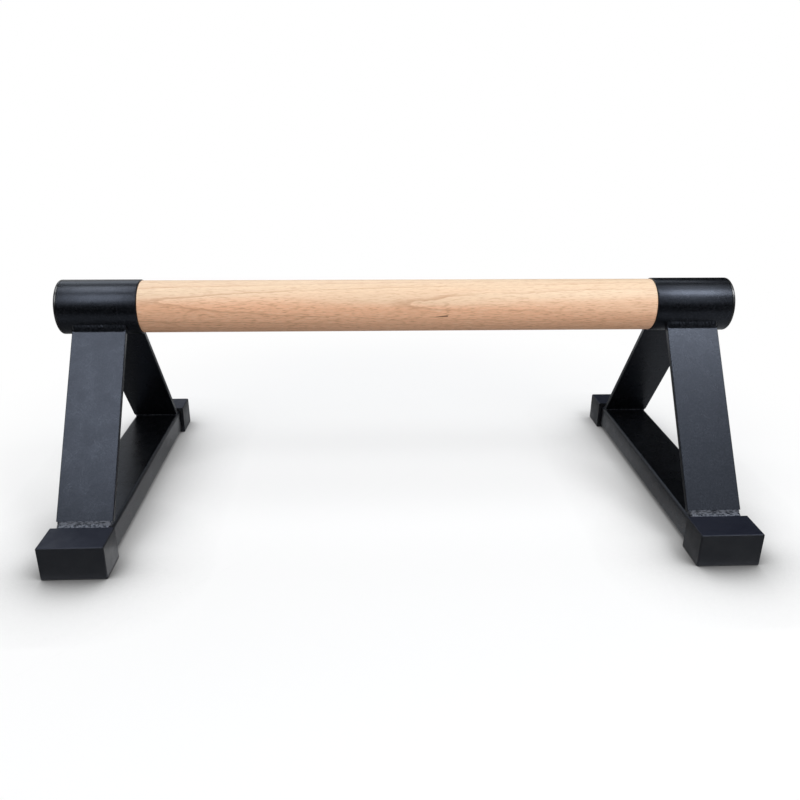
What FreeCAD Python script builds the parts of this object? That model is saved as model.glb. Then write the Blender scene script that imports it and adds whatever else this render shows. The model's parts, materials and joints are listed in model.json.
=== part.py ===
import FreeCAD, Part
import math
import os

import Sketcher

# Parallette bar in millimetres: X along the grip, Y from front to rear, Z up from the floor.

# Driving sizes
SIZES = {
    # Wooden grip
    "grip_length": 498,
    "grip_diameter": 50,
    "shoulder_chamfer": 0.6,
    "tenon_chamfer": 1.5,
    "tenon_end_gap": 3,
    # Glue layer round the tenons
    "bond_gap": 0.25,
    "bond_clearance": 0.05,
    # Steel sleeves that hold the grip
    "sleeve_length": 73.5,
    "sleeve_proud": 1,
    "sleeve_wall": 2,
    "sleeve_rim_chamfer": 0.5,
    "axis_height": 194.5,
    # Finned plugs in the outer ends of the sleeves
    "plug_flange": 2.5,
    "plug_edge_round": 1.2,
    "plug_stem_length": 11,
    "plug_stem_wall": 2,
    "plug_fin_height": 1.6,
    "plug_fin_base": 1.8,
    "plug_fin_count": 3,
    "plug_clearance": 0.1,
    # Flat-bar struts
    "strut_width": 50,
    "strut_thickness": 5,
    "strut_edge_round": 0.6,
    "strut_face_offset": 10.4,
    "strut_setback": 36.5,
    "root_opening": 3,
    "foot_opening": 1.2,
    # Base rails of rectangular tube
    "rail_length": 335,
    "rail_width": 50,
    "rail_height": 25,
    "rail_wall": 2,
    "rail_outer_corner": 3,
    "rail_inner_corner": 1,
    "rail_inset": 0.8,
    # Slip-over foot caps
    "cap_wall": 3.2,
    "cap_clearance": 0.1,
    "cap_edge_round": 1.5,
    "cap_weld_gap": 0.5,
    # Weld beads
    "weld_inset": 2,
    "weld_flatness": 2.5,
    "foot_weld_leg": 6.5,
    "sleeve_weld_flare": 23,
}

# Sizes and places that follow from the driving ones
GRIP_RADIUS = "(Sizes.grip_diameter / 2)"
SLEEVE_RADIUS = f"({GRIP_RADIUS} + Sizes.sleeve_proud)"
BORE_RADIUS = f"({SLEEVE_RADIUS} - Sizes.sleeve_wall)"
TENON_RADIUS = f"({BORE_RADIUS} - Sizes.bond_gap)"
TENON_LENGTH = "(Sizes.sleeve_length - Sizes.plug_stem_length - Sizes.tenon_end_gap)"
FIN_RADIUS = f"({BORE_RADIUS} - Sizes.plug_clearance)"
FIN_PITCH = "(Sizes.plug_stem_length / (Sizes.plug_fin_count + 1))"
STEM_RADIUS = f"({FIN_RADIUS} - Sizes.plug_fin_height)"
STEM_BORE_RADIUS = f"({STEM_RADIUS} - Sizes.plug_stem_wall)"
SLEEVE_INNER_END = "(Sizes.grip_length / 2)"
SLEEVE_OUTER_END = f"({SLEEVE_INNER_END} + Sizes.sleeve_length)"
LEG_STATION = f"({SLEEVE_INNER_END} + Sizes.sleeve_length / 2)"
RAIL_STATION = f"({LEG_STATION} - Sizes.rail_inset)"
RAIL_BOTTOM = "(Sizes.cap_wall + Sizes.cap_clearance)"
RAIL_MIDDLE = f"({RAIL_BOTTOM} + Sizes.rail_height / 2)"
RAIL_TOP = f"({RAIL_BOTTOM} + Sizes.rail_height)"
FOOT_REACH = "(Sizes.rail_length / 2 - Sizes.strut_setback)"
STRUT_END_DISTANCE = f"({SLEEVE_RADIUS} + Sizes.root_opening)"
WELD_LENGTH = "(Sizes.strut_width - 2 * Sizes.weld_inset)"
SLEEVE_WELD_FACE = "(Sizes.strut_thickness + Sizes.root_opening + Sizes.weld_flatness)"
FOOT_WELD_FACE = "(Sizes.strut_thickness + Sizes.foot_weld_leg + Sizes.weld_flatness)"
CAP_END = "(Sizes.rail_length / 2 + Sizes.cap_wall)"
CAP_LENGTH = "(Sizes.strut_setback + Sizes.cap_wall - Sizes.foot_weld_leg - Sizes.cap_weld_gap)"
CAP_OUTER_WIDTH = f"(Sizes.rail_width + 2 * {RAIL_BOTTOM})"
CAP_OUTER_HEIGHT = f"(Sizes.rail_height + 2 * {RAIL_BOTTOM})"

SIDES = {"left": -1, "right": 1}
ENDS = {"front": -1, "rear": 1}

# Numbers by which sketch constraints name the axes and the points of a curve
HORIZONTAL_AXIS, VERTICAL_AXIS = range(-1, -3, -1)
START, END, CENTRE = range(1, 4)
ORIGIN = (HORIZONTAL_AXIS, START)
TOLERANCE = 1e-4

doc = FreeCAD.newDocument("ParalletteBar")
sheet = doc.addObject("Spreadsheet::Sheet", "Sizes")
for row, (alias, number) in enumerate(SIZES.items(), 1):
    sheet.set(f"A{row}", alias)
    sheet.set(f"B{row}", str(number))
    sheet.setAlias(f"B{row}", alias)
doc.recompute()
bodies = []


# Shared helpers

def value(expression):
    """The number that an expression has now."""
    return float(sheet.evalExpression(expression))


def new_body(label, along_x=None, along_y=None, height=None, turned=False):
    """An empty body with its place tied to the sheet, turned half round about Z where asked."""
    body = doc.addObject("PartDesign::Body", label)
    body.Label = label
    if turned:
        body.Placement.Rotation = FreeCAD.Rotation(FreeCAD.Vector(0, 0, 1), 180)
    for axis, expression in zip("xyz", (along_x, along_y, height)):
        if expression:
            body.setExpression(f"Placement.Base.{axis}", expression)
    bodies.append(body)
    return body


def new_sketch(body, role, offset=None):
    """A sketch on one of the body's origin planes, moved along the plane's normal by offset."""
    sketch = body.newObject("Sketcher::SketchObject", f"{body.Name}_sketch")
    plane = next(item for item in body.Origin.OriginFeatures if item.Role == role)
    sketch.AttachmentSupport = [(plane, "")]
    sketch.MapMode = "FlatFace"
    if offset:
        sketch.setExpression("AttachmentOffset.Base.z", offset)
    return sketch


def relate(sketch, kind, *references):
    """A constraint without a size, such as Parallel."""
    sketch.addConstraint(Sketcher.Constraint(kind, *references))


def dimension(sketch, kind, references, expression):
    """A constraint whose size is tied to the sheet. Angles are written in degrees."""
    number = value(expression)
    start = math.radians(number) if kind == "Angle" else number
    index = sketch.addConstraint(Sketcher.Constraint(kind, *references, start))
    sketch.setExpression(f"Constraints[{index}]", expression)


def add_line(sketch, start, end, construction=False):
    ends = FreeCAD.Vector(*start, 0), FreeCAD.Vector(*end, 0)
    return sketch.addGeometry(Part.LineSegment(*ends), construction)


def add_arc(sketch, centre, start, end):
    """An arc that turns anticlockwise from start to end about centre."""
    angles = [math.atan2(y - centre[1], x - centre[0]) for x, y in (start, end)]
    circle = Part.Circle(FreeCAD.Vector(*centre, 0), FreeCAD.Vector(0, 0, 1), math.dist(centre, start))
    return sketch.addGeometry(Part.ArcOfCircle(circle, *angles), False)


def add_circle(sketch, radius, centre_height=None, construction=False):
    """A circle about the sketch's origin, or about a point above it."""
    centre = FreeCAD.Vector(0, value(centre_height) if centre_height else 0, 0)
    circle = sketch.addGeometry(Part.Circle(centre, FreeCAD.Vector(0, 0, 1), value(radius)), construction)
    if centre_height:
        hold_above_origin(sketch, circle, centre_height)
    else:
        relate(sketch, "Coincident", circle, CENTRE, *ORIGIN)
    dimension(sketch, "Radius", (circle,), radius)
    return circle


def hold_above_origin(sketch, curve, height):
    """Puts the centre of a circle or arc on the vertical axis."""
    relate(sketch, "PointOnObject", curve, CENTRE, VERTICAL_AXIS)
    dimension(sketch, "DistanceY", (*ORIGIN, curve, CENTRE), height)


def add_polygon(sketch, corners):
    """A closed outline whose corners are pairs of expressions, none of them below zero."""
    points = [tuple(map(value, corner)) for corner in corners]
    edges = [add_line(sketch, point, points[i + 1 - len(points)]) for i, point in enumerate(points)]
    for i, (across, up) in enumerate(corners):
        relate(sketch, "Coincident", edges[i - 1], END, edges[i], START)
        places = (("DistanceX", VERTICAL_AXIS, across), ("DistanceY", HORIZONTAL_AXIS, up))
        for kind, axis, expression in places:
            if expression == "0":
                relate(sketch, "PointOnObject", edges[i], START, axis)
            else:
                dimension(sketch, kind, (*ORIGIN, edges[i], START), expression)


def add_round_rectangle(sketch, width, height, radius):
    """A rectangle with round corners, centred on the sketch's origin."""
    across, up, corner = value(width) / 2, value(height) / 2, value(radius)
    sides = []
    arcs = []
    for quarter in range(4):
        turn = FreeCAD.Rotation(FreeCAD.Vector(0, 0, 1), 90 * quarter)
        reach, rise = (up, across) if quarter % 2 else (across, up)
        spots = (
            (reach, corner - rise),
            (reach, rise - corner),
            (reach - corner, rise),
            (reach - corner, rise - corner),
        )
        start, end, arc_end, arc_centre = (tuple(turn * FreeCAD.Vector(*spot, 0))[:2] for spot in spots)
        sides.append(add_line(sketch, start, end))
        arcs.append(add_arc(sketch, arc_centre, end, arc_end))
    for quarter in range(4):
        relate(sketch, "Tangent", sides[quarter], END, arcs[quarter], START)
        relate(sketch, "Tangent", arcs[quarter], END, sides[quarter - 3], START)
        relate(sketch, "Horizontal" if quarter % 2 else "Vertical", sides[quarter])
        if quarter:
            relate(sketch, "Equal", arcs[0], arcs[quarter])
    relate(sketch, "Symmetric", sides[0], START, sides[2], START, *ORIGIN)
    dimension(sketch, "Radius", (arcs[0],), radius)
    dimension(sketch, "DistanceX", (sides[2], START, sides[0], END), width)
    dimension(sketch, "DistanceY", (sides[3], START, sides[1], START), height)


def pad(body, sketch, length, symmetric=False):
    feature = body.newObject("PartDesign::Pad", f"{body.Name}_pad")
    feature.Profile = sketch
    feature.SideType = "Symmetric" if symmetric else "One side"
    feature.setExpression("Length", length)
    return feature


def revolve(body, sketch):
    """Turns a profile about the sketch's horizontal axis."""
    feature = body.newObject("PartDesign::Revolution", f"{body.Name}_turning")
    feature.Profile = sketch
    feature.ReferenceAxis = (sketch, ["H_Axis"])
    feature.Angle = 360
    return feature


def soften(body, base, kind, size_property, size, chosen):
    """A fillet or chamfer on the edges of base that the test chosen picks."""
    doc.recompute()
    names = [f"Edge{i}" for i, edge in enumerate(base.Shape.Edges, 1) if chosen(edge)]
    feature = body.newObject(f"PartDesign::{kind}", f"{body.Name}_{kind.lower()}")
    feature.Base = (base, names)
    feature.setExpression(size_property, size)
    return feature


def is_ring(edge, radius):
    """True for a full circle of that radius about the X axis."""
    return edge.isClosed() and abs(edge.BoundBox.YLength / 2 - value(radius)) < TOLERANCE


# Grip, sleeves and what is in them

def make_handle():
    """Turned grip with a shouldered tenon at each end."""
    body = new_body("wooden_handle", height="Sizes.axis_height")
    tenon_end = f"{SLEEVE_INNER_END} + {TENON_LENGTH}"
    sketch = new_sketch(body, "XZ_Plane")
    add_polygon(sketch, (
        ("0", "0"),
        (tenon_end, "0"),
        (tenon_end, TENON_RADIUS),
        (SLEEVE_INNER_END, TENON_RADIUS),
        (SLEEVE_INNER_END, GRIP_RADIUS),
        ("0", GRIP_RADIUS),
    ))
    half = revolve(body, sketch)
    whole = body.newObject("PartDesign::Mirrored", "handle_halves")
    whole.Originals = [half]
    whole.MirrorPlane = (sketch, ["V_Axis"])
    body.Tip = whole
    eased = soften(body, whole, "Chamfer", "Size", "Sizes.shoulder_chamfer", lambda edge:
                   is_ring(edge, GRIP_RADIUS) and abs(edge.CenterOfMass.x) > TOLERANCE)
    soften(body, eased, "Chamfer", "Size", "Sizes.tenon_chamfer", lambda edge:
           is_ring(edge, TENON_RADIUS) and abs(edge.CenterOfMass.x) > value(tenon_end) - TOLERANCE)


def make_sleeve(side):
    """Round tube, with eased rims, that the tenon and the plug go into."""
    body = new_body(f"{side}_sleeve", f"{SIDES[side]} * {LEG_STATION}", height="Sizes.axis_height")
    sketch = new_sketch(body, "YZ_Plane")
    add_circle(sketch, SLEEVE_RADIUS)
    add_circle(sketch, BORE_RADIUS)
    tube = pad(body, sketch, "Sizes.sleeve_length", symmetric=True)
    soften(body, tube, "Chamfer", "Size", "Sizes.sleeve_rim_chamfer", lambda edge:
           is_ring(edge, SLEEVE_RADIUS))


def make_bond(side):
    """Glue layer between the tenon and the sleeve's bore."""
    shoulder = f"{SIDES[side]} * {SLEEVE_INNER_END}"
    body = new_body(f"{side}_handle_bond", shoulder, height="Sizes.axis_height", turned=side == "left")
    sketch = new_sketch(body, "YZ_Plane")
    add_circle(sketch, BORE_RADIUS)
    add_circle(sketch, f"{TENON_RADIUS} + Sizes.bond_clearance")
    pad(body, sketch, f"{TENON_LENGTH} - Sizes.tenon_chamfer")


def make_plug(side):
    """Flanged cup with a row of fins that grip the sleeve's bore."""
    body = new_body(f"{side}_end_plug", height="Sizes.axis_height", turned=side == "left")
    flange_face = f"{SLEEVE_OUTER_END} + Sizes.plug_flange"
    stem_end = f"{SLEEVE_OUTER_END} - Sizes.plug_stem_length"
    cup_sketch = new_sketch(body, "XZ_Plane")
    add_polygon(cup_sketch, (
        (SLEEVE_OUTER_END, "0"),
        (flange_face, "0"),
        (flange_face, SLEEVE_RADIUS),
        (SLEEVE_OUTER_END, SLEEVE_RADIUS),
        (SLEEVE_OUTER_END, STEM_RADIUS),
        (stem_end, STEM_RADIUS),
        (stem_end, STEM_BORE_RADIUS),
        (SLEEVE_OUTER_END, STEM_BORE_RADIUS),
    ))
    revolve(body, cup_sketch)
    fin_back = f"{SLEEVE_OUTER_END} - {FIN_PITCH}"
    fin_front = f"{fin_back} - Sizes.plug_fin_base"
    fin_sketch = new_sketch(body, "XZ_Plane")
    add_polygon(fin_sketch, (
        (fin_front, STEM_BORE_RADIUS),
        (fin_back, STEM_BORE_RADIUS),
        (fin_back, FIN_RADIUS),
        (fin_front, STEM_RADIUS),
    ))
    fin = revolve(body, fin_sketch)
    fins = body.newObject("PartDesign::LinearPattern", f"{side}_plug_fins")
    fins.Originals = [fin]
    fins.Direction = (fin_sketch, ["H_Axis"])
    fins.Reversed = True
    fins.Mode = "Spacing"
    fins.setExpression("Offset", FIN_PITCH)
    fins.setExpression("Occurrences", "Sizes.plug_fin_count")
    body.Tip = fins
    soften(body, fins, "Fillet", "Radius", "Sizes.plug_edge_round", lambda edge:
           is_ring(edge, SLEEVE_RADIUS) and edge.CenterOfMass.x > value(flange_face) - TOLERANCE)


# Struts and their welds

def new_leg_body(side, end, piece):
    """A body under one sleeve, with its own +Y pointing outwards along the rail."""
    return new_body(f"{side}_{end}_{piece}", f"{SIDES[side]} * {LEG_STATION}", turned=end == "front")


def strut_lean():
    """How far a strut leans in from the vertical, in radians."""
    reach, rise = value(FOOT_REACH), value(f"Sizes.axis_height - {RAIL_TOP}")
    return math.atan2(reach, rise) - math.asin(value("Sizes.strut_face_offset") / math.hypot(reach, rise))


def strut_corners():
    """A strut's corners seen along X: outer foot, outer top, inner top and inner foot."""
    lean, thickness = strut_lean(), value("Sizes.strut_thickness")
    reach, rise = value(FOOT_REACH), value(f"Sizes.axis_height - {RAIL_TOP}")
    foot_distance = (value("Sizes.foot_opening") + thickness * math.sin(lean)) / math.cos(lean)
    end_distance = reach * math.sin(lean) + rise * math.cos(lean) - value(STRUT_END_DISTANCE)
    foot, top = ((reach - distance * math.sin(lean), value(RAIL_TOP) + distance * math.cos(lean))
                 for distance in (foot_distance, end_distance))
    inner_top, inner_foot = ((across - thickness * math.cos(lean), up - thickness * math.sin(lean))
                             for across, up in (top, foot))
    return foot, top, inner_top, inner_foot


def add_strut_outline(sketch, construction=False):
    """The strut's edges in order: outer face, upper end, inner face and lower end."""
    corners = strut_corners()
    edges = [add_line(sketch, corner, corners[i - 3], construction) for i, corner in enumerate(corners)]
    outer, upper_end, inner, lower_end = edges
    for i, edge in enumerate(edges):
        relate(sketch, "Coincident", edge, END, edges[i - 3], START)
    offset_circle = add_circle(sketch, "Sizes.strut_face_offset", "Sizes.axis_height", construction=True)
    run_out = add_line(sketch, (value(FOOT_REACH), value(RAIL_TOP)), corners[0], construction=True)
    dimension(sketch, "DistanceX", (*ORIGIN, run_out, START), FOOT_REACH)
    dimension(sketch, "DistanceY", (*ORIGIN, run_out, START), RAIL_TOP)
    relate(sketch, "Coincident", run_out, END, outer, START)
    relate(sketch, "Parallel", run_out, outer)
    relate(sketch, "Tangent", outer, offset_circle)
    relate(sketch, "Parallel", outer, inner)
    relate(sketch, "Perpendicular", outer, upper_end)
    relate(sketch, "Perpendicular", outer, lower_end)
    dimension(sketch, "Distance", (inner, START, outer), "Sizes.strut_thickness")
    dimension(sketch, "Distance", (offset_circle, CENTRE, upper_end), STRUT_END_DISTANCE)
    dimension(sketch, "DistanceY", (*ORIGIN, inner, END), f"{RAIL_TOP} + Sizes.foot_opening")
    return edges


def make_strut(side, end):
    """Square-cut flat bar that stops just short of the rail and of the sleeve."""
    body = new_leg_body(side, end, "strut")
    sketch = new_sketch(body, "YZ_Plane")
    add_strut_outline(sketch)
    bar = pad(body, sketch, "Sizes.strut_width", symmetric=True)
    soften(body, bar, "Fillet", "Radius", "Sizes.strut_edge_round", lambda edge:
           edge.BoundBox.XLength < TOLERANCE and edge.Length > value("3 * Sizes.strut_thickness"))


def bulge_centre(start, end, radius):
    """Centre of the shorter arc of that radius that turns anticlockwise from start to end."""
    across, up = end[0] - start[0], end[1] - start[1]
    chord = math.hypot(across, up)
    back = math.sqrt(radius ** 2 - chord ** 2 / 4) / chord
    return start[0] + across / 2 - up * back, start[1] + up / 2 + across * back


def make_foot_weld(side, end):
    """Convex bead that fills the wedge under the strut's lower end and runs out on the top of the rail."""
    body = new_leg_body(side, end, "foot_weld")
    sketch = new_sketch(body, "YZ_Plane")
    outer, inner = add_strut_outline(sketch, construction=True)[::2]
    corners = strut_corners()
    foot, inner_foot = corners[0], corners[3]
    toe_reach = f"{FOOT_REACH} + Sizes.foot_weld_leg"
    rail_toe = (value(toe_reach), value(RAIL_TOP))
    back_toe = (inner_foot[0] + value("Sizes.foot_opening") * math.tan(strut_lean()), value(RAIL_TOP))
    on_rail = add_line(sketch, back_toe, rail_toe)
    face = add_arc(sketch, bulge_centre(rail_toe, foot, value(FOOT_WELD_FACE)), rail_toe, foot)
    on_strut = add_line(sketch, foot, inner_foot)
    back = add_line(sketch, inner_foot, back_toe)
    edges = (on_rail, face, on_strut, back)
    for i, curve in enumerate(edges):
        relate(sketch, "Coincident", curve, END, edges[i - 3], START)
    relate(sketch, "Coincident", on_strut, START, outer, START)
    relate(sketch, "Coincident", on_strut, END, inner, END)
    relate(sketch, "Parallel", back, inner)
    relate(sketch, "Horizontal", on_rail)
    dimension(sketch, "DistanceX", (*ORIGIN, on_rail, END), toe_reach)
    dimension(sketch, "DistanceY", (*ORIGIN, on_rail, END), RAIL_TOP)
    dimension(sketch, "Radius", (face,), FOOT_WELD_FACE)
    pad(body, sketch, WELD_LENGTH, symmetric=True)


def meet_sleeve(point, lean):
    """Where a line that leans in from point first meets the sleeve's outside."""
    run, rise = -math.sin(lean), math.cos(lean)
    across, up = point[0], point[1] - value("Sizes.axis_height")
    nearest = -across * run - up * rise
    spare = math.hypot(across, up) ** 2 - value(SLEEVE_RADIUS) ** 2
    distance = nearest - math.sqrt(nearest ** 2 - spare)
    return point[0] + run * distance, point[1] + rise * distance


def make_sleeve_weld(side, end):
    """Groove bead that fills the root opening and flares up on to the underside of the sleeve."""
    body = new_leg_body(side, end, "sleeve_weld")
    sketch = new_sketch(body, "YZ_Plane")
    outer, upper_end, inner = add_strut_outline(sketch, construction=True)[:3]
    top, inner_top = strut_corners()[1:3]
    sleeve_toe = meet_sleeve(top, strut_lean() - math.radians(value("Sizes.sleeve_weld_flare")))
    back_toe = meet_sleeve(inner_top, strut_lean())
    on_strut = add_line(sketch, top, inner_top)
    back = add_line(sketch, inner_top, back_toe)
    on_sleeve = add_arc(sketch, (0, value("Sizes.axis_height")), back_toe, sleeve_toe)
    face = add_arc(sketch, bulge_centre(top, sleeve_toe, value(SLEEVE_WELD_FACE)), top, sleeve_toe)
    chord = add_line(sketch, top, sleeve_toe, construction=True)
    relate(sketch, "Coincident", on_strut, START, upper_end, START)
    relate(sketch, "Coincident", on_strut, END, upper_end, END)
    relate(sketch, "Coincident", back, START, on_strut, END)
    relate(sketch, "Parallel", back, inner)
    relate(sketch, "Coincident", back, END, on_sleeve, START)
    hold_above_origin(sketch, on_sleeve, "Sizes.axis_height")
    dimension(sketch, "Radius", (on_sleeve,), SLEEVE_RADIUS)
    for curve in (face, chord):
        relate(sketch, "Coincident", curve, START, on_strut, START)
        relate(sketch, "Coincident", curve, END, on_sleeve, END)
    dimension(sketch, "Angle", (outer, END, chord, START), "180 - Sizes.sleeve_weld_flare")
    dimension(sketch, "Radius", (face,), SLEEVE_WELD_FACE)
    pad(body, sketch, WELD_LENGTH, symmetric=True)


# Base rails and their caps

def make_rail(side):
    """Rectangular tube with round corners that the struts stand on."""
    body = new_body(f"{side}_base_rail", f"{SIDES[side]} * {RAIL_STATION}", height=RAIL_MIDDLE)
    sketch = new_sketch(body, "XZ_Plane")
    inner_width = "Sizes.rail_width - 2 * Sizes.rail_wall"
    inner_height = "Sizes.rail_height - 2 * Sizes.rail_wall"
    add_round_rectangle(sketch, "Sizes.rail_width", "Sizes.rail_height", "Sizes.rail_outer_corner")
    add_round_rectangle(sketch, inner_width, inner_height, "Sizes.rail_inner_corner")
    pad(body, sketch, "Sizes.rail_length", symmetric=True)


def make_foot_cap(side, end):
    """Slip-over cap that closes a rail end, stops at the foot weld and stands on the floor."""
    station, end_face = f"{SIDES[side]} * {RAIL_STATION}", f"{ENDS[end]} * {CAP_END}"
    body = new_body(f"{side}_{end}_foot_cap", station, end_face, RAIL_MIDDLE, turned=end == "front")
    block_sketch = new_sketch(body, "XZ_Plane")
    add_round_rectangle(block_sketch, CAP_OUTER_WIDTH, CAP_OUTER_HEIGHT, "Sizes.cap_edge_round")
    block = pad(body, block_sketch, CAP_LENGTH)
    rounded = soften(body, block, "Fillet", "Radius", "Sizes.cap_edge_round", lambda edge:
                     edge.BoundBox.YMin > -TOLERANCE)
    socket_sketch = new_sketch(body, "XZ_Plane", CAP_LENGTH)
    socket_width = "Sizes.rail_width + 2 * Sizes.cap_clearance"
    socket_height = "Sizes.rail_height + 2 * Sizes.cap_clearance"
    socket_corner = "Sizes.rail_outer_corner + Sizes.cap_clearance"
    add_round_rectangle(socket_sketch, socket_width, socket_height, socket_corner)
    socket = body.newObject("PartDesign::Pocket", f"{body.Name}_socket")
    socket.Profile = socket_sketch
    socket.setExpression("Length", f"{CAP_LENGTH} - Sizes.cap_wall")
    doc.recompute()
    if socket.Shape.Volume > rounded.Shape.Volume / 2:
        raise RuntimeError(f"{body.Label}: the socket was not cut")


make_handle()
for side in SIDES:
    make_sleeve(side)
    make_bond(side)
    make_plug(side)
    make_rail(side)
    for end in ENDS:
        make_strut(side, end)
        make_foot_weld(side, end)
        make_sleeve_weld(side, end)
        make_foot_cap(side, end)
doc.recompute()

# Nothing is written unless every object is sound
for item in doc.Objects:
    if "Invalid" in item.State or "Error" in item.State:
        raise RuntimeError(f"{item.Label} failed: {item.State}")
for body in bodies:
    if body.Shape.isNull() or not body.Shape.isValid() or len(body.Shape.Solids) != 1:
        raise RuntimeError(f"{body.Label} is not one sound solid")

os.makedirs("parts", exist_ok=True)
for body in bodies:
    body.Shape.exportStep(f"parts/{body.Label}.step")
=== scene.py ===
import json
import math

import bmesh
import bpy
from mathutils import Matrix, Vector, noise


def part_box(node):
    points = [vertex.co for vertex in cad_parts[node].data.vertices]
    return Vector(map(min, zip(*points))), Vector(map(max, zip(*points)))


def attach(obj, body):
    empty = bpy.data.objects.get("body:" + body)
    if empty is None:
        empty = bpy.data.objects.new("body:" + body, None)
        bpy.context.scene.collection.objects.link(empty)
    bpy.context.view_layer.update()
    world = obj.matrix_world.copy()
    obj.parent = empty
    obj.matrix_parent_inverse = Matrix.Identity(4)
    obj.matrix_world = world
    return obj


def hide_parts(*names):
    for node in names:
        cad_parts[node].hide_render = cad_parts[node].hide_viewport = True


# Parallette bar in metres: X along the grip, Y from front to rear, Z up from the floor.
# Outlines and sections are worked out in millimetres and scaled as the meshes are made.

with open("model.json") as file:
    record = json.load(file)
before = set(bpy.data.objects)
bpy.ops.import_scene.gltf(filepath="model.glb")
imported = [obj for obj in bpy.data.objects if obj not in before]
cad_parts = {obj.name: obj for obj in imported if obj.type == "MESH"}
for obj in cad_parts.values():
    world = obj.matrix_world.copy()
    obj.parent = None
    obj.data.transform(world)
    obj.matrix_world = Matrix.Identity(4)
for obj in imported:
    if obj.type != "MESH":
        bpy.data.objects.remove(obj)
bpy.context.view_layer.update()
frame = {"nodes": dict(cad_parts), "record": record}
nodes = frame["nodes"]
slots = {piece["node"]: piece["material_slot"] for piece in frame["record"]["subparts"]}
scene = bpy.context.scene
scene.view_settings.view_transform = "Standard"

MM = 0.001
IMAGE_SIDE = 800
SENSOR_WIDTH = 36.0


# Camera

FOCAL_PIXELS = 760.7
CAMERA_PLACE = Vector((-36.5, -729.1, 384.8)) * MM
CAMERA_PITCH = math.radians(21.71)
CAMERA_YAW = math.radians(2.92)
CAMERA_ROLL = math.radians(0.466)


def make_camera():
    """The photograph's view: pitch is downwards, yaw towards +X."""
    data = bpy.data.cameras.new("camera")
    data.sensor_width = SENSOR_WIDTH
    data.lens = FOCAL_PIXELS / IMAGE_SIDE * SENSOR_WIDTH
    data.clip_start = 10 * MM
    camera = bpy.data.objects.new("camera", data)
    scene.collection.objects.link(camera)
    turn = Matrix.Rotation(-CAMERA_YAW, 4, "Z")
    tilt = Matrix.Rotation(math.pi / 2 - CAMERA_PITCH, 4, "X")
    roll = Matrix.Rotation(CAMERA_ROLL, 4, "Z")
    camera.matrix_world = Matrix.Translation(CAMERA_PLACE) @ turn @ tilt @ roll
    scene.camera = camera


make_camera()


# Short ways to add shader nodes

def add(tree, kind, inputs=None, **settings):
    """A shader node with its settings, and with its inputs set to values or linked to sockets."""
    node = tree.nodes.new(f"ShaderNode{kind}")
    for name, value in settings.items():
        setattr(node, name, value)
    for name, value in (inputs or {}).items():
        if isinstance(value, bpy.types.NodeSocket):
            tree.links.new(value, node.inputs[name])
        else:
            node.inputs[name].default_value = value
    return node


def calculate(tree, operation, *values):
    node = add(tree, "Math", dict(enumerate(values)), operation=operation)
    return node.outputs[0]


def combine(tree, operation, *values):
    node = add(tree, "VectorMath", dict(enumerate(values)), operation=operation)
    return node.outputs[0]


def spread(tree, value, low, high, to_low=0.0, to_high=1.0):
    """A smooth ramp from to_low, where value is low, to to_high, where it is high."""
    inputs = {"Value": value, "From Min": low, "From Max": high, "To Min": to_low, "To Max": to_high}
    return add(tree, "MapRange", inputs, interpolation_type="SMOOTHSTEP").outputs[0]


def blend_colours(tree, share, first, second):
    node = add(tree, "Mix", {0: share, 6: first, 7: second}, data_type="RGBA")
    return node.outputs[2]


def product(tree, *values):
    """All the values multiplied."""
    result = values[0]
    for value in values[1:]:
        result = calculate(tree, "MULTIPLY", result, value)
    return result


def stain(tree, colour, mask, strength, tone):
    """The colour with another tone laid over it where the mask is high."""
    return blend_colours(tree, product(tree, mask, strength), colour, tone)


def object_place(tree):
    return add(tree, "TexCoord").outputs["Object"]


def stretch(tree, place, lengths):
    """A place in units of these lengths, which are in millimetres along X, Y and Z."""
    return combine(tree, "MULTIPLY", place, [1 / (length * MM) for length in lengths])


def cloud(tree, place, lengths, detail=2.0, roughness=0.5):
    """Noise from 0 to 1 whose features have these lengths, in millimetres along X, Y and Z."""
    inputs = {"Vector": stretch(tree, place, lengths), "Scale": 1.0, "Detail": detail, "Roughness": roughness}
    return add(tree, "TexNoise", inputs).outputs[0]


def new_material(name):
    material = bpy.data.materials.new(name)
    material.use_nodes = True
    tree = material.node_tree
    return material, tree, tree.nodes["Principled BSDF"]


def set_surface(tree, shader, colour, roughness, height, depth):
    """Links a shader's colour, its roughness and a relief of this depth in millimetres."""
    bump = add(tree, "Bump", {"Height": height, "Distance": depth * MM, "Strength": 1.0})
    tree.links.new(colour, shader.inputs["Base Color"])
    tree.links.new(roughness, shader.inputs["Roughness"])
    tree.links.new(bump.outputs[0], shader.inputs["Normal"])


# Turned sizes, in millimetres

def box_of(name):
    return [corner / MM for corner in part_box(name)]


sleeve_low, sleeve_high = box_of("right_sleeve")
AXIS_HEIGHT = (sleeve_low.z + sleeve_high.z) / 2
SHOULDER = sleeve_low.x
SLEEVE_END = sleeve_high.x


def turned_points(name):
    """Each vertex of a turned node as its x and its radius about the grip's axis."""
    points = [vertex.co / MM for vertex in nodes[name].data.vertices]
    return [(point.x, math.hypot(point.y, point.z - AXIS_HEIGHT)) for point in points]


SLEEVE_RADIUS = max(radius for x, radius in turned_points("right_sleeve"))
BORE_RADIUS = min(radius for x, radius in turned_points("right_sleeve"))
GRIP_RADIUS = max(radius for x, radius in turned_points("wooden_handle"))
TENON_END = box_of("wooden_handle")[1].x
TENON_RADIUS = max(radius for x, radius in turned_points("wooden_handle") if abs(x) > SHOULDER + 1)


# Materials

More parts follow.
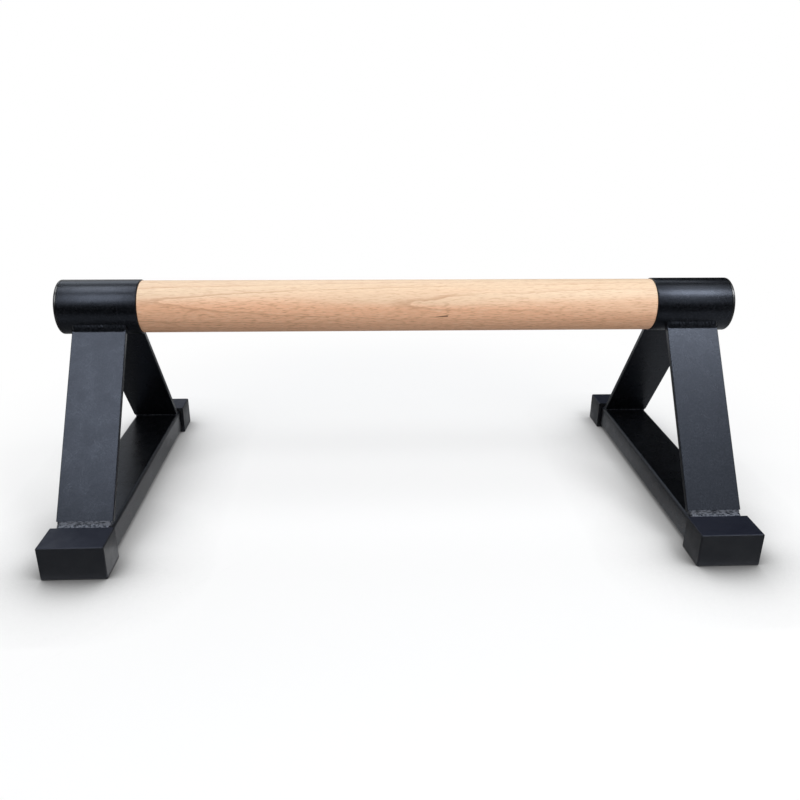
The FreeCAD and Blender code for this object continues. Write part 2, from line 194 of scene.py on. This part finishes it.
# Beech, in millimetres: the pith as (y, z) and the streak's start as (x, z), with z from the grip's axis
RING_WIDTH = 4.3
RING_WANDER = 1.2
GRAIN_DRIFT = 1.8
PITH = (78.0, -30.0)
PITH_SLOPE = (0.014, -0.010)
STREAK_START = (28.0, -5.9)
STREAK_LENGTH = 17.0
STREAK_SLOPE = 0.09
STREAK_WIDTH = 2.0
STREAK_LEAST_HALF = 0.01

# The pale colour is a painted sheen for the top of the grip; the rosy one is the wood's own tone.
PAINTED_SHEEN_PALE = (0.800, 0.604, 0.418, 1)
ROSY = (0.850, 0.474, 0.290, 1)
LATE_WOOD = (0.60, 0.32, 0.18, 1)
RING_LINE = (0.46, 0.22, 0.115, 1)
DARK_DASH = (0.52, 0.275, 0.155, 1)
LIGHT_DASH = (0.86, 0.62, 0.43, 1)
FLECK = (0.47, 0.25, 0.14, 1)
FIBRE = (0.56, 0.32, 0.19, 1)
STREAK = (0.12, 0.045, 0.018, 1)


def growth_rings(tree, place, parts):
    """The late wood of the rings about the pith, as a soft tone and as a thin line."""
    tilt_y = calculate(tree, "MULTIPLY_ADD", parts["X"], -PITH_SLOPE[0], -PITH[0] * MM)
    tilt_z = calculate(tree, "MULTIPLY_ADD", parts["X"], -PITH_SLOPE[1], -(AXIS_HEIGHT + PITH[1]) * MM)
    across = calculate(tree, "ADD", parts["Y"], tilt_y)
    above = calculate(tree, "ADD", parts["Z"], tilt_z)
    squares = calculate(tree, "ADD", product(tree, across, across), product(tree, above, above))
    rings = calculate(tree, "DIVIDE", calculate(tree, "SQRT", squares), RING_WIDTH * MM)
    wander = cloud(tree, place, (210, 30, 30))
    season = calculate(tree, "FRACT", calculate(tree, "MULTIPLY_ADD", wander, RING_WANDER, rings))
    figure = spread(tree, cloud(tree, place, (130, 60, 60), detail=1.0), 0.38, 0.62, 0.3, 1.0)
    tone = product(tree, spread(tree, season, 0.1, 0.95), figure)
    line = product(tree, spread(tree, season, 0.84, 0.97), spread(tree, season, 1.0, 0.985), figure)
    return tone, line


def make_beech():
    """Steamed beech: rosy wood with a painted pale sheen on top and towards the right end, with growth rings,
    dashes, ray flecks and fibres along X.
    """
    material, tree, shader = new_material("beech")
    place = object_place(tree)
    ripple = cloud(tree, place, (17, 9, 9))
    drift = product(tree, calculate(tree, "SUBTRACT", ripple, 0.5), GRAIN_DRIFT * MM)
    shifted = combine(tree, "ADD", place, add(tree, "CombineXYZ", {"Y": drift, "Z": drift}).outputs[0])
    parts = add(tree, "SeparateXYZ", {0: shifted}).outputs

    # Painted light: apart from random tone, the colour turns with height from rosy wood below to the painted
    # pale sheen on top, and the right end is painted paler.
    level = calculate(tree, "SUBTRACT", parts["Z"], AXIS_HEIGHT * MM)
    level = calculate(tree, "DIVIDE", level, GRIP_RADIUS * MM)
    level = calculate(tree, "ADD", level, spread(tree, parts["X"], 0.05, 0.20, 0.0, 0.15))
    height_and_tone = calculate(tree, "MULTIPLY_ADD", cloud(tree, place, (220, 16, 16), detail=1.0), 0.7, level)
    rosy_below_painted_sheen = spread(tree, height_and_tone, 1.16, 0.32)
    colour = blend_colours(tree, rosy_below_painted_sheen, PAINTED_SHEEN_PALE, ROSY)

    late_tone, late_line = growth_rings(tree, place, parts)
    colour = stain(tree, colour, late_tone, strength=0.16, tone=LATE_WOOD)
    colour = stain(tree, colour, late_line, strength=0.46, tone=RING_LINE)

    dashes = cloud(tree, shifted, (8.0, 0.8, 0.8), detail=1.0)
    dark_strength = spread(tree, rosy_below_painted_sheen, 0.0, 1.0, 0.40, 0.74)
    colour = stain(tree, colour, spread(tree, dashes, 0.50, 0.72), strength=dark_strength, tone=DARK_DASH)
    colour = stain(tree, colour, spread(tree, dashes, 0.46, 0.28), strength=0.36, tone=LIGHT_DASH)

    cells = stretch(tree, shifted, (7.0, 0.8, 0.8))
    spindle = add(tree, "TexVoronoi", {"Vector": cells, "Scale": 1.0}).outputs["Distance"]
    fleck = spread(tree, spindle, 0.30, 0.12)
    colour = stain(tree, colour, fleck, strength=0.26, tone=FLECK)

    fibre = cloud(tree, shifted, (26, 0.45, 0.45), detail=3.0, roughness=0.6)
    colour = stain(tree, colour, spread(tree, fibre, 0.35, 0.75), strength=0.30, tone=FIBRE)
    colour = add_streak(tree, place, colour)

    roughness = spread(tree, fibre, 0.3, 0.7, 0.44, 0.58)
    relief = calculate(tree, "SUBTRACT", fibre, product(tree, fleck, 0.5))
    set_surface(tree, shader, colour, roughness, relief, depth=0.03)
    shader.inputs["Specular IOR Level"].default_value = 0.35
    return material


def add_streak(tree, place, colour):
    """One short dark mineral streak on the front of the grip, pointed at its left end."""
    parts = add(tree, "SeparateXYZ", {0: place}).outputs
    along = calculate(tree, "SUBTRACT", parts["X"], STREAK_START[0] * MM)
    along = calculate(tree, "DIVIDE", along, STREAK_LENGTH * MM)
    level = calculate(tree, "SUBTRACT", parts["Z"], (AXIS_HEIGHT + STREAK_START[1]) * MM)
    level = calculate(tree, "MULTIPLY_ADD", along, -STREAK_SLOPE * STREAK_LENGTH * MM, level)
    half = calculate(tree, "MAXIMUM", product(tree, along, STREAK_WIDTH / 2 * MM), STREAK_LEAST_HALF * MM)
    nearness = calculate(tree, "DIVIDE", calculate(tree, "ABSOLUTE", level), half)
    tip = spread(tree, along, 0.0, 0.35)
    stop = spread(tree, along, 1.04, 0.94)
    front = calculate(tree, "LESS_THAN", parts["Y"], 0.0)
    mask = product(tree, spread(tree, nearness, 1.3, 0.3), tip, stop, front)
    return stain(tree, colour, mask, strength=0.95, tone=STREAK)


# Dark and light tones of the other surfaces, the light tone of the foot beads being a painted sheen, the
# painted sky reflection on the caps' top faces and the tints of the highlights
COAT_TONES = ((0.0006, 0.0007, 0.0009, 1), (0.0084, 0.0089, 0.0106, 1))
BEAD_TONES_WITH_PAINTED_SHEEN = ((0.004, 0.0043, 0.0056, 1), (0.098, 0.102, 0.117, 1))
CAP_TONES = ((0.0052, 0.0052, 0.0052, 1), (0.0096, 0.0097, 0.0096, 1))
PLUG_TONES = ((0.0060, 0.0060, 0.0066, 1), (0.0090, 0.0090, 0.0098, 1))
GLUE_TONES = ((0.42, 0.24, 0.09, 1), (0.58, 0.38, 0.17, 1))
CAP_TOP_PAINTED_REFLECTION = (0.0056, 0.0067, 0.0130, 1)
COAT_TINT = (0.72, 0.80, 1.0, 1)
CAP_TINT = (0.76, 0.81, 1.0, 1)


def make_powder_coat():
    """Satin blue-black powder coat: a fine grain over a soft orange peel."""
    material, tree, shader = new_material("powder_coat")
    place = object_place(tree)
    peel = cloud(tree, place, (2.6, 2.6, 2.6), detail=1.0)
    grain = cloud(tree, place, (0.7, 0.7, 0.7))
    blotch = cloud(tree, place, (13, 13, 13))
    speck = spread(tree, cloud(tree, place, (1.6, 1.6, 1.6)), 0.40, 0.72)
    colour = blend_colours(tree, speck, *COAT_TONES)
    uneven = calculate(tree, "ADD", product(tree, blotch, 0.4), product(tree, grain, 0.6))
    roughness = spread(tree, uneven, 0.3, 0.7, 0.26, 0.34)
    height = calculate(tree, "MULTIPLY_ADD", grain, 0.35, peel)
    set_surface(tree, shader, colour, roughness, height, depth=0.042)
    shader.inputs["Specular IOR Level"].default_value = 0.37
    shader.inputs["Specular Tint"].default_value = COAT_TINT
    return material


def make_painted_sheen_bead_coat():
    """The same powder coat on the rough foot beads, with a painted sheen: light grey patches over the black.
    """
    material, tree, shader = new_material("painted_sheen_bead_coat")
    place = object_place(tree)
    grain = cloud(tree, place, (0.6, 0.6, 0.6))
    # Painted sheen: where the patches are high the bead takes the light grey tone.
    painted_sheen_patch = spread(tree, cloud(tree, place, (3.0, 1.8, 1.8), detail=1.0), 0.34, 0.60)
    colour = blend_colours(tree, painted_sheen_patch, *BEAD_TONES_WITH_PAINTED_SHEEN)
    roughness = spread(tree, grain, 0.3, 0.7, 0.34, 0.48)
    set_surface(tree, shader, colour, roughness, grain, depth=0.05)
    shader.inputs["Specular Tint"].default_value = COAT_TINT
    return material


def make_cap_rubber():
    """Matt black moulded rubber of the foot caps, with a painted bluish sky reflection on their top faces."""
    material, tree, shader = new_material("cap_rubber")
    place = object_place(tree)
    grain = cloud(tree, place, (0.9, 0.9, 0.9), detail=3.0)
    clouding = cloud(tree, place, (11, 11, 11), detail=3.0)
    colour = blend_colours(tree, spread(tree, clouding, 0.3, 0.75), *CAP_TONES)
    # Painted reflection: faces that point up are tinted bluish as if mirroring the sky.
    normal = add(tree, "SeparateXYZ", {0: add(tree, "NewGeometry").outputs["True Normal"]}).outputs
    painted_sky_on_top = spread(tree, normal["Z"], 0.6, 0.95)
    colour = blend_colours(tree, painted_sky_on_top, colour, CAP_TOP_PAINTED_REFLECTION)
    roughness = spread(tree, clouding, 0.25, 0.75, 0.42, 0.54)
    set_surface(tree, shader, colour, roughness, grain, depth=0.04)
    shader.inputs["Specular IOR Level"].default_value = 0.36
    shader.inputs["Specular Tint"].default_value = CAP_TINT
    return material


def make_plug_plastic():
    """Smooth black plastic of the end plugs."""
    material, tree, shader = new_material("plug_plastic")
    place = object_place(tree)
    grain = cloud(tree, place, (0.5, 0.5, 0.5))
    flow = cloud(tree, place, (30, 8, 8))
    colour = blend_colours(tree, flow, *PLUG_TONES)
    roughness = spread(tree, flow, 0.3, 0.7, 0.20, 0.28)
    set_surface(tree, shader, colour, roughness, grain, depth=0.012)
    return material


def make_glue():
    """Set amber wood glue in the joint."""
    material, tree, shader = new_material("glue")
    place = object_place(tree)
    pool = cloud(tree, place, (6, 3, 3))
    colour = blend_colours(tree, pool, *GLUE_TONES)
    roughness = spread(tree, pool, 0.3, 0.7, 0.25, 0.45)
    set_surface(tree, shader, colour, roughness, pool, depth=0.02)
    return material


materials = {
    "beech": make_beech(),
    "powder_coat": make_powder_coat(),
    "foot_cap": make_cap_rubber(),
    "end_plug": make_plug_plastic(),
    "glue": make_glue(),
}
painted_sheen_bead_coat = make_painted_sheen_bead_coat()
for node_name, node in nodes.items():
    node.data.materials.clear()
    node.data.materials.append(materials[slots[node_name]])


# Meshes

TURN_STEPS = 160
ROUND_STEPS = 5
SHARP_ANGLE = math.radians(35)


def make_piece(name, node_name, vertices, faces, material=None):
    """A mesh piece in millimetres that replaces a node, with the material of its slot or one of its own."""
    data = bpy.data.meshes.new(name)
    data.from_pydata([Vector(vertex) * MM for vertex in vertices], [], faces)
    mesh = bmesh.new()
    mesh.from_mesh(data)
    bmesh.ops.recalc_face_normals(mesh, faces=mesh.faces)
    mesh.to_mesh(data)
    mesh.free()
    data.shade_smooth()
    data.set_sharp_from_angle(angle=SHARP_ANGLE)
    data.materials.append(material or materials[slots[node_name]])
    piece = bpy.data.objects.new(name, data)
    scene.collection.objects.link(piece)
    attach(piece, "root")
    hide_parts(node_name)


def rounded(corners):
    """A closed outline from corners of (x, radius, rounding), with each rounding as an arc."""
    points = []
    places = [Vector(corner[:2]) for corner in corners]
    for index, (here, corner) in enumerate(zip(places, corners)):
        rounding = corner[2]
        if not rounding:
            points.append(here)
            continue
        back = (places[index - 1] - here).normalized()
        ahead = (places[(index + 1) % len(places)] - here).normalized()
        half = back.angle(ahead) / 2
        centre = here + (back + ahead).normalized() * rounding / math.sin(half)
        reach = rounding / math.tan(half)
        first = here + back * reach - centre
        last = here + ahead * reach - centre
        for step in range(ROUND_STEPS + 1):
            points.append(centre + first.slerp(last, step / ROUND_STEPS).normalized() * rounding)
    return points


def revolve(outline):
    """Vertices and faces of a closed outline turned about the grip's axis."""
    vertices = []
    rows = []
    for x, radius in outline:
        turns = range(TURN_STEPS) if radius > 0 else [0]
        rows.append([len(vertices) + step for step in turns])
        for step in turns:
            angle = 2 * math.pi * step / TURN_STEPS
            vertices.append((x, radius * math.cos(angle), AXIS_HEIGHT + radius * math.sin(angle)))
    faces = []
    for row, following in zip(rows, rows[1:] + rows[:1]):
        for step in range(TURN_STEPS):
            ahead = (step + 1) % TURN_STEPS
            corners = [row[step % len(row)], row[ahead % len(row)],
                       following[ahead % len(following)], following[step % len(following)]]
            corners = list(dict.fromkeys(corners))
            if len(corners) > 2:
                faces.append(corners)
    return vertices, faces


# Grip and sleeves

SHOULDER_ROUND = 1.1
TENON_ROUND = 0.5
RIM_ROUND = 0.6
BORE_EDGE_ROUND = 0.3


def make_grip():
    half = [(SHOULDER, GRIP_RADIUS, SHOULDER_ROUND), (SHOULDER, TENON_RADIUS, 0),
            (TENON_END, TENON_RADIUS, TENON_ROUND), (TENON_END, 0, 0)]
    mirrored = [(-x, radius, rounding) for x, radius, rounding in reversed(half)]
    make_piece("turned_grip", "wooden_handle", *revolve(rounded(mirrored + half)))


def make_sleeve(side, sign):
    ends = [SHOULDER * sign, SLEEVE_END * sign]
    corners = [(ends[0], SLEEVE_RADIUS, RIM_ROUND), (ends[1], SLEEVE_RADIUS, RIM_ROUND),
               (ends[1], BORE_RADIUS, BORE_EDGE_ROUND), (ends[0], BORE_RADIUS, BORE_EDGE_ROUND)]
    make_piece(f"{side}_tube_sleeve", f"{side}_sleeve", *revolve(rounded(corners)))


make_grip()
for side, sign in (("left", -1), ("right", 1)):
    make_sleeve(side, sign)


# Weld beads, with lengths in millimetres

BEAD_STEP = 0.3
FACE_STEPS = 12
RIPPLE_PITCH = 2.9
RIPPLE_BOW = 0.8
END_LENGTH = 3.2
END_SHARE = 0.15
EMBED = 0.25
FOOT_TOE_DROP = 0.15
SLEEVE_TOE_OVERLAP = 0.7
RAIL_SEAT = 1.2
SEAT_POWER = 7
FADE_POWER = 0.6
SKIN = 0.05
BEAD_FORMS = {
    "foot": {"bulge": 0.8, "ripple": 0.6, "overrun": 0.7},
    "sleeve": {"bulge": -0.15, "ripple": 0.38, "overrun": 2.3},
}

# Noise along the beads: amplitude, length in millimetres and layer
PITCH_NOISE = (0.55, 6.5, 0.0)
SWELL_NOISE = (0.55, 5.0, 3.7)
FINE_TOE_NOISE = (0.4, 2.2, 9.1)
BROAD_TOE_NOISE = (0.7, 7.0, 5.3)
MEAN_SWELL = 0.62
LUMP_HEIGHT = 0.18
LUMP_LENGTH = 1.5
LUMP_ROWS = 4.0

# Steps between the seeds of the two sides, of front and rear, and of the two beads of a strut
SIDE_SEED = 10.3
END_SEED = 4.7
SLEEVE_SEED = 0.5


def waver(x, seed, amplitude, length, layer, shift=0.0):
    """Smooth noise about 0 along a bead."""
    return amplitude * noise.noise((x / length, seed, layer + shift))


def ripple_height(x, share, seed):
    """Bead relief from 0 to about 1: crescent ripples of uneven pitch, with lumps."""
    along = x / RIPPLE_PITCH + RIPPLE_BOW * (2 * share - 1) ** 2
    along += waver(x, seed, *PITCH_NOISE)
    crest = abs(math.sin(math.pi * along))
    swell = MEAN_SWELL + waver(x, seed, *SWELL_NOISE)
    lump = LUMP_HEIGHT * noise.noise((x / LUMP_LENGTH, share * LUMP_ROWS, seed))
    return crest * swell + lump


def bead_rows(face, seats, back, form, ends, seed):
    """Sections along X: a rippled face from its first toe to its last, closed over the hidden back.

    Each of the two seats puts a point on the surface that the toe at its side of the face runs out on.
    """
    first, last = (Vector(point) for point in face)
    normal = Vector((last.y - first.y, first.x - last.x)).normalized()
    anchor = sum((Vector(point) for point in back), Vector((0, 0))) / len(back)
    if normal.dot(first - anchor) < 0:
        normal = -normal
    count = max(2, round((ends[1] - ends[0]) / BEAD_STEP))
    for index in range(count + 1):
        x = ends[0] + (ends[1] - ends[0]) * index / count
        inset = min(min(x - ends[0], ends[1] - x) / END_LENGTH, 1)
        size = END_SHARE + (1 - END_SHARE) * math.sqrt(1 - (1 - inset) ** 2)
        section = []
        for step in range(FACE_STEPS + 1):
            share = step / FACE_STEPS
            fade = math.sin(math.pi * share) ** FADE_POWER
            rise = fade * (form["bulge"] + form["ripple"] * ripple_height(x, share, seed))
            wander = waver(x, seed, *FINE_TOE_NOISE, shift=share)
            wander += waver(x, seed, *BROAD_TOE_NOISE, shift=share)
            toe_wander = wander * (2 * share - 1)
            point = first.lerp(last, share) + normal * rise + (last - first).normalized() * toe_wander
            point = anchor + (point - anchor) * size
            point = point.lerp(seats[0](point), (1 - share) ** SEAT_POWER)
            section.append(point.lerp(seats[1](point), share ** SEAT_POWER))
        section += [Vector(point) for point in back]
        yield x, section


def make_bead(leg, kind, facing, face, seats, back, seed):
    node_name = f"{leg}_{kind}_weld"
    form = BEAD_FORMS[kind]
    low, high = box_of(node_name)
    ends = (low.x - form["overrun"], high.x + form["overrun"])
    vertices = []
    rows = []
    for x, section in bead_rows(face, seats, back, form, ends, seed):
        rows.append(range(len(vertices), len(vertices) + len(section)))
        vertices += [(x, facing * point.x, point.y) for point in section]
    faces = [list(rows[0]), list(rows[-1])]
    for row, following in zip(rows, rows[1:]):
        for step in range(len(row)):
            ahead = (step + 1) % len(row)
            faces.append((row[step], row[ahead], following[ahead], following[step]))
    make_piece(f"{leg}_{kind}_bead", node_name, vertices, faces, painted_sheen_bead_coat if kind == "foot" else None)


def under_sleeve(radius, turn):
    """The point at this radius from the grip's axis, turned outwards from straight down."""
    return radius * math.sin(turn), AXIS_HEIGHT - radius * math.cos(turn)


def make_welds(leg, facing, seed):
    """The beads at the foot and the top of a strut, from points of (distance from the middle, z)."""
    strut = nodes[f"{leg}_strut"].data
    corners = [Vector((abs(vertex.co.y), vertex.co.z)) / MM for vertex in strut.vertices]
    foot = max(corners, key=lambda corner: corner.x)
    top = max(corners, key=lambda corner: corner.y)
    inner_foot = min(corners, key=lambda corner: corner.y)
    inner_top = min(corners, key=lambda corner: corner.x)
    upwards = (top - foot).normalized()
    inwards = (inner_foot - foot).normalized()
    axis = Vector((0, AXIS_HEIGHT))

    low, high = box_of(f"{leg}_foot_weld")
    rail_top = low.z

    def on_strut(point):
        return foot + upwards * (point - foot).dot(upwards) + inwards * SKIN

    def on_rail(point):
        return Vector((point.x, rail_top - SKIN))

    def on_sleeve(point):
        return axis + (point - axis).normalized() * (SLEEVE_RADIUS - SKIN)

    rail_toe = Vector((max(abs(low.y), abs(high.y)), low.z))
    back_toe = inner_foot - upwards * (inner_foot.y - low.z) / upwards.y
    buried = Vector((0, -RAIL_SEAT))
    foot_face = (rail_toe, foot - upwards * FOOT_TOE_DROP)
    foot_back = (foot + (upwards + inwards) * EMBED * 2, inner_foot + (upwards - inwards) * EMBED,
                 inner_foot, back_toe, back_toe + buried, rail_toe + buried)
    make_bead(leg, "foot", facing, foot_face, (on_rail, on_strut), foot_back, seed)

    low, high = box_of(f"{leg}_sleeve_weld")
    reach = sorted((abs(low.y), abs(high.y)))
    turns = [math.acos((AXIS_HEIGHT - high.z) / SLEEVE_RADIUS), math.asin(reach[0] / SLEEVE_RADIUS)]
    toes = [under_sleeve(SLEEVE_RADIUS, turn) for turn in turns]
    arc = [under_sleeve(SLEEVE_RADIUS - EMBED, turn) for turn in (turns[0], sum(turns) / 2, turns[1])]
    sleeve_face = (top - upwards * SLEEVE_TOE_OVERLAP, toes[0])
    sleeve_back = (*arc, toes[1], inner_top, inner_top - (upwards + inwards) * EMBED)
    make_bead(leg, "sleeve", facing, sleeve_face, (on_strut, on_sleeve), sleeve_back, seed + SLEEVE_SEED)


for side_index, side in enumerate(("left", "right")):
    for end_index, (end, facing) in enumerate((("front", -1), ("rear", 1))):
        make_welds(f"{side}_{end}", facing, SIDE_SEED * side_index + END_SEED * end_index)


# Studio, in metres

# The floor as it is seen and as it bounces light, the shade where the bar touches it, stronger in front of
# the bar, and the distances over which it turns white
FLOOR_SIDE = 30
FLOOR_SEEN = (0.84, 0.825, 0.81, 1)
FLOOR_BOUNCE = (0.42, 0.41, 0.395, 1)
CONTACT_REACH = 0.09
CONTACT_POWER = (2.8, 1.3)
CONTACT_FRONT = (-0.18, -0.12)
NEAR_WHITE = (0.28, 0.62, 0.58, 1.0)
FAR_WHITE = (0.42, 1.1)


def make_plane(name, corners, material):
    data = bpy.data.meshes.new(name)
    data.from_pydata(corners, [], [(0, 1, 2, 3)])
    data.materials.append(material)
    plane = bpy.data.objects.new(name, data)
    scene.collection.objects.link(plane)
    return plane


def make_floor():
    """A pale floor with the shadow near the bar, darkest where they touch, and white far from it."""
    material = bpy.data.materials.new("floor")
    material.use_nodes = True
    tree = material.node_tree
    tree.nodes.clear()
    position = add(tree, "NewGeometry").outputs["Position"]
    distance = add(tree, "VectorMath", {0: position}, operation="LENGTH").outputs["Value"]
    near_white = spread(tree, distance, *NEAR_WHITE)
    far_white = spread(tree, distance, *FAR_WHITE)
    path = add(tree, "LightPath").outputs
    seen = calculate(tree, "MAXIMUM", path["Is Camera Ray"], path["Is Glossy Ray"])
    seen = calculate(tree, "MAXIMUM", seen, path["Is Transmission Ray"])
    share = calculate(tree, "MAXIMUM", product(tree, near_white, path["Is Camera Ray"]),
                      product(tree, far_white, seen))
    openness = add(tree, "AmbientOcclusion", {"Distance": CONTACT_REACH}).outputs["AO"]
    along_y = add(tree, "SeparateXYZ", {0: position}).outputs["Y"]
    contact = calculate(tree, "POWER", openness, spread(tree, along_y, *CONTACT_FRONT, *CONTACT_POWER))
    shade = blend_colours(tree, path["Is Camera Ray"], (1, 1, 1, 1), contact)
    colour = blend_colours(tree, seen, FLOOR_BOUNCE, FLOOR_SEEN)
    colour = combine(tree, "MULTIPLY", colour, shade)
    paper = add(tree, "BsdfDiffuse", {"Color": colour}).outputs[0]
    white = add(tree, "Emission", {"Color": shade, "Strength": 1.0}).outputs[0]
    surface = add(tree, "MixShader", {0: share, 1: paper, 2: white}).outputs[0]
    add(tree, "OutputMaterial", {"Surface": surface})
    corners = [(x * FLOOR_SIDE, y * FLOOR_SIDE, 0) for x, y in ((-1, -1), (1, -1), (1, 1), (-1, 1))]
    make_plane("floor", corners, material)


# Cards that lie on the floor: left, right, front, rear, tone and glow
LOW_FLAG_HEIGHT = 0.001
LOW_FLAGS = {
    "middle_low_flag": (-0.235, 0.243, -0.2, 0.5, 0.18, 0.0),
    "front_low_flag": (-0.7, 0.7, -0.56, -0.176, 0.38, 0.0),
    "left_low_flag": (-0.7, -0.315, -0.2, 0.5, 0.18, 0.0),
    "right_low_flag": (0.315, 0.7, -0.2, 0.5, 0.38, 0.0),
    # The glowing card is seen only in reflections, where it lights the inner side of the left cap.
    "left_glowing_card": (-0.2555, -0.235, -0.175, -0.122, 0.18, 1.3),
}

# Upright and leaning black flags, by their corners
FLAG_BLACK = 0.002
BLACK_FLAGS = {
    "front_flag": [(-1.4, -0.56, 0.002), (1.4, -0.56, 0.002), (1.4, -1.0, 0.52), (-1.4, -1.0, 0.52)],
    "rear_flag": [(0.25, 1.1, 0.12), (2.0, 0.6, 0.12), (2.0, 0.6, 1.25), (0.25, 1.1, 1.25)],
}


def make_flag(name, corners, tone=FLAG_BLACK, glow=0.0):
    """A card that only reflections see: a dark one keeps the metal dark, a glowing one lights a side."""
    material, _, shader = new_material(name)
    shader.inputs["Base Color"].default_value = (tone, tone, tone, 1)
    shader.inputs["Specular IOR Level"].default_value = 0.0
    shader.inputs["Emission Color"].default_value = (1, 1, 1, 1)
    shader.inputs["Emission Strength"].default_value = glow
    flag = make_plane(name, corners, material)
    flag.visible_camera = False
    flag.visible_diffuse = False
    flag.visible_shadow = False
    flag.visible_transmission = False


ROOM_COLOUR = (0.93, 0.97, 1.0, 1)
ROOM_STRENGTH = 0.12
BACKDROP_SHARE = 0.6


def make_world():
    """A dim room, with white behind the object for the camera and for reflections."""
    world = bpy.data.worlds.new("studio")
    scene.world = world
    world.use_nodes = True
    tree = world.node_tree
    tree.nodes.clear()
    direction = add(tree, "SeparateXYZ", {0: add(tree, "TexCoord").outputs["Generated"]}).outputs
    path = add(tree, "LightPath").outputs
    low = spread(tree, direction["Z"], 0.5, 0.2)
    behind = spread(tree, direction["Y"], 0.0, 0.4)
    mirrored = calculate(tree, "MAXIMUM", path["Is Glossy Ray"], path["Is Transmission Ray"])
    mirrored = product(tree, mirrored, low, behind, BACKDROP_SHARE)
    share = calculate(tree, "MAXIMUM", path["Is Camera Ray"], mirrored)
    room = add(tree, "Background", {"Color": ROOM_COLOUR, "Strength": ROOM_STRENGTH}).outputs[0]
    white = add(tree, "Background", {"Color": (1, 1, 1, 1), "Strength": 1.0}).outputs[0]
    surface = add(tree, "MixShader", {0: share, 1: room, 2: white}).outputs[0]
    add(tree, "OutputWorld", {"Surface": surface})


LIGHT_COLOUR = (0.94, 0.97, 1.0)
SKY_COLOUR = (0.84, 0.91, 1.0)
LEFT_LEG = Vector((-0.286, -0.05, 0.15))
RIGHT_LEG = Vector((0.286, -0.05, 0.15))
MIDDLE = Vector((0, 0, 0.15))


def make_softbox(name, place, target, size, radiance, colour=LIGHT_COLOUR):
    """A rectangular softbox of this radiance, level along X and facing its target."""
    data = bpy.data.lights.new(name, "AREA")
    data.shape = "RECTANGLE"
    data.size, data.size_y = size
    data.energy = math.pi * size[0] * size[1] * radiance
    data.color = colour
    lamp = bpy.data.objects.new(name, data)
    scene.collection.objects.link(lamp)
    ahead = (target - Vector(place)).normalized()
    side = (Vector((1, 0, 0)) - ahead * ahead.x).normalized()
    turn = Matrix((side, side.cross(ahead), -ahead)).transposed()
    lamp.matrix_world = Matrix.Translation(place) @ turn.to_4x4()
    return lamp


make_floor()
for name, corners in BLACK_FLAGS.items():
    make_flag(name, corners)
for name, (left, right, front, rear, tone, glow) in LOW_FLAGS.items():
    outline = ((left, front), (right, front), (right, rear), (left, rear))
    corners = [(x, y, LOW_FLAG_HEIGHT) for x, y in outline]
    make_flag(name, corners, tone, glow)
make_world()
make_softbox("left_softbox", (-0.83, -1.06, 1.505), LEFT_LEG, (0.60, 0.94), 6.5)
make_softbox("left_top_softbox", (-0.83, 0.06, 1.88), LEFT_LEG, (0.60, 0.92), 6.1)
make_softbox("right_softbox", (0.94, -0.59, 1.62), RIGHT_LEG, (0.58, 1.95), 2.75)
make_softbox("right_strip", (0.90, -0.64, 1.505), RIGHT_LEG, (0.54, 0.53), 11.4)
make_softbox("left_low_softbox", (-0.86, -1.32, 0.92), LEFT_LEG, (0.58, 0.36), 1.0)
make_softbox("right_low_softbox", (0.90, -1.30, 0.78), RIGHT_LEG, (0.58, 0.46), 1.4)
make_softbox("rear_softbox", (0, 1.25, 1.35), MIDDLE, (2.4, 0.8), 1.7, SKY_COLOUR)
front_fill = make_softbox("front_fill", (0.8, -1.4, 0.5), MIDDLE, (1.6, 0.8), 1.7)
front_fill.visible_glossy = False
